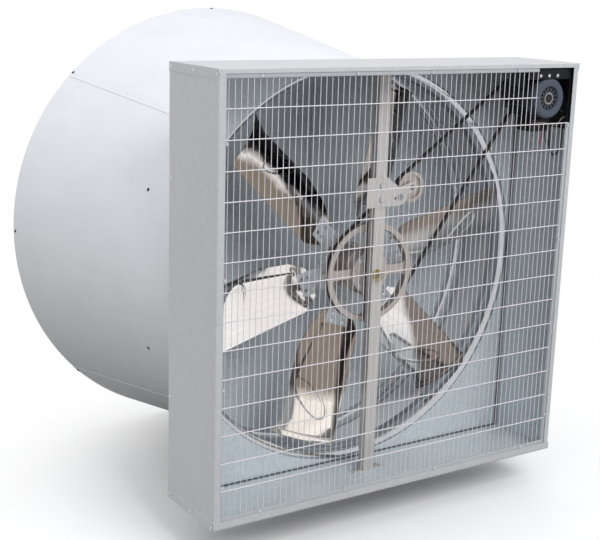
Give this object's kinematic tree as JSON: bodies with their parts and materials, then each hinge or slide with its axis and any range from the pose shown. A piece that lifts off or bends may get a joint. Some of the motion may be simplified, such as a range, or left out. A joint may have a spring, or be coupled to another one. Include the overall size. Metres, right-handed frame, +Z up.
{
  "type": "cone fan",
  "caption": "Belt-driven ventilation fan in a square sheet-metal housing with a wire intake guard, twisted blades, butterfly shutter and a wide discharge cone.",
  "frame": {"origin": "middle of the housing's flat underside", "axes": "+Y downstream along the fan's axis, from the intake guard to the cone's outlet; +Z up; +X to the right of a viewer who faces the guard"},
  "size_m": [1.6388, 1.32, 1.6388],
  "materials": {
    "galvanised_sheet": "spangled zinc, satin",
    "cone_sheet": "smooth zinc-coated sheet, semi-gloss",
    "galvanised_steel": "hot-dip zinc, matt",
    "guard_wire": "pale zinc-coated wire",
    "stainless": "bright rolled stainless",
    "cast_alloy": "as cast, machined rim",
    "steel": "turned steel",
    "yellow_zinc": "yellow zinc plate",
    "bright_zinc": "bright zinc plate",
    "black_paint": "black, satin",
    "motor_paint": "charcoal blue, semi-gloss",
    "cowl_paint": "blue grey, satin",
    "belt_rubber": "matt black",
    "black_plastic": "moulded",
    "cable_black": "smooth sheath",
    "wire_red": "smooth insulation",
    "rotor_iron": "bare"
  },
  "bodies": {
    "housing": {"left_side_panel": "galvanised_sheet", "right_side_panel": "galvanised_sheet", "top_panel": "galvanised_sheet", "bottom_panel": "galvanised_sheet", "back_panel": "galvanised_sheet", "orifice_ring": "galvanised_sheet", "panel_rivets": "bright_zinc", "intake_guard": "guard_wire", "guard_screws": "bright_zinc", "cone_rim_hoop": "cone_sheet", "cone_screws": "bright_zinc", "shutter_ring": "galvanised_sheet", "shutter_post": "galvanised_steel", "hinge_pins": "steel", "centre_post": "galvanised_steel", "post_bolts": "bright_zinc", "fan_axle": "steel", "axle_nuts": "yellow_zinc", "axle_spacer": "galvanised_steel", "v_belt": "belt_rubber", "tensioner_plate": "galvanised_steel", "tensioner_bolts": "bright_zinc", "pivot_stud": "steel", "motor_frame": "motor_paint", "drive_end_shield": "motor_paint", "tail_end_shield": "motor_paint", "fan_cowl": "cowl_paint", "motor_bracket": "black_paint", "motor_bolts": "bright_zinc", "terminal_box": "black_plastic", "cable_glands": "black_plastic", "motor_lead": "cable_black", "thin_lead": "cable_black", "red_loose_wire": "wire_red", "black_loose_wire": "cable_black", "cone_sheet_1": "cone_sheet", "cone_sheet_2": "cone_sheet", "cone_sheet_3": "cone_sheet", "cone_sheet_4": "cone_sheet"},
    "propeller": {"hub": "galvanised_steel", "hub_bearings": "steel", "spider": "galvanised_steel", "blade_brackets": "galvanised_steel", "bracket_bolts": "bright_zinc", "drive_pulley": "cast_alloy", "pulley_bolts": "bright_zinc", "blade_1": "stainless", "blade_2": "stainless", "blade_3": "stainless", "blade_4": "stainless", "blade_5": "stainless", "blade_6": "stainless"},
    "rotor": {"motor_rotor": "rotor_iron", "cooling_fan": "black_plastic", "motor_pulley": "cast_alloy"},
    "arm": {"tension_arm": "galvanised_steel", "idler_axle": "steel"},
    "idler": {"idler_pulley": "cast_alloy"},
    "left_door": {"left_shutter_door": "galvanised_sheet"},
    "right_door": {"right_shutter_door": "galvanised_sheet"}
  },
  "joints": [
    {"name": "fan_spin", "type": "hinge", "parent": "housing", "child": "propeller", "pos_m": [0, 0.156, 0.69], "axis": [0, 1, 0], "continuous": true},
    {"name": "motor_spin", "type": "hinge", "parent": "housing", "child": "rotor", "pos_m": [0.574, 0, 1.264], "axis": [0, 1, 0], "continuous": true},
    {"name": "arm_swing", "type": "hinge", "parent": "housing", "child": "arm", "pos_m": [0.07682, 0.0398, 0.94534], "axis": [0, 1, 0], "range_deg": [0, 30]},
    {"name": "idler_spin", "type": "hinge", "parent": "arm", "child": "idler", "pos_m": [0.15682, 0.0571, 0.96534], "axis": [0, 1, 0], "continuous": true},
    {"name": "left_door_swing", "type": "hinge", "parent": "housing", "child": "left_door", "pos_m": [-0.012, 0.43605, 0.69], "axis": [0, 0, -1], "range_deg": [0, 80]},
    {"name": "right_door_swing", "type": "hinge", "parent": "housing", "child": "right_door", "pos_m": [0.012, 0.43605, 0.69], "axis": [0, 0, 1], "range_deg": [0, 80]}
  ],
  "couplings": [
    {"joint": "motor_spin", "follows": "fan_spin", "ratio": 3.6211},
    {"joint": "idler_spin", "follows": "fan_spin", "ratio": 3.2426}
  ]
}
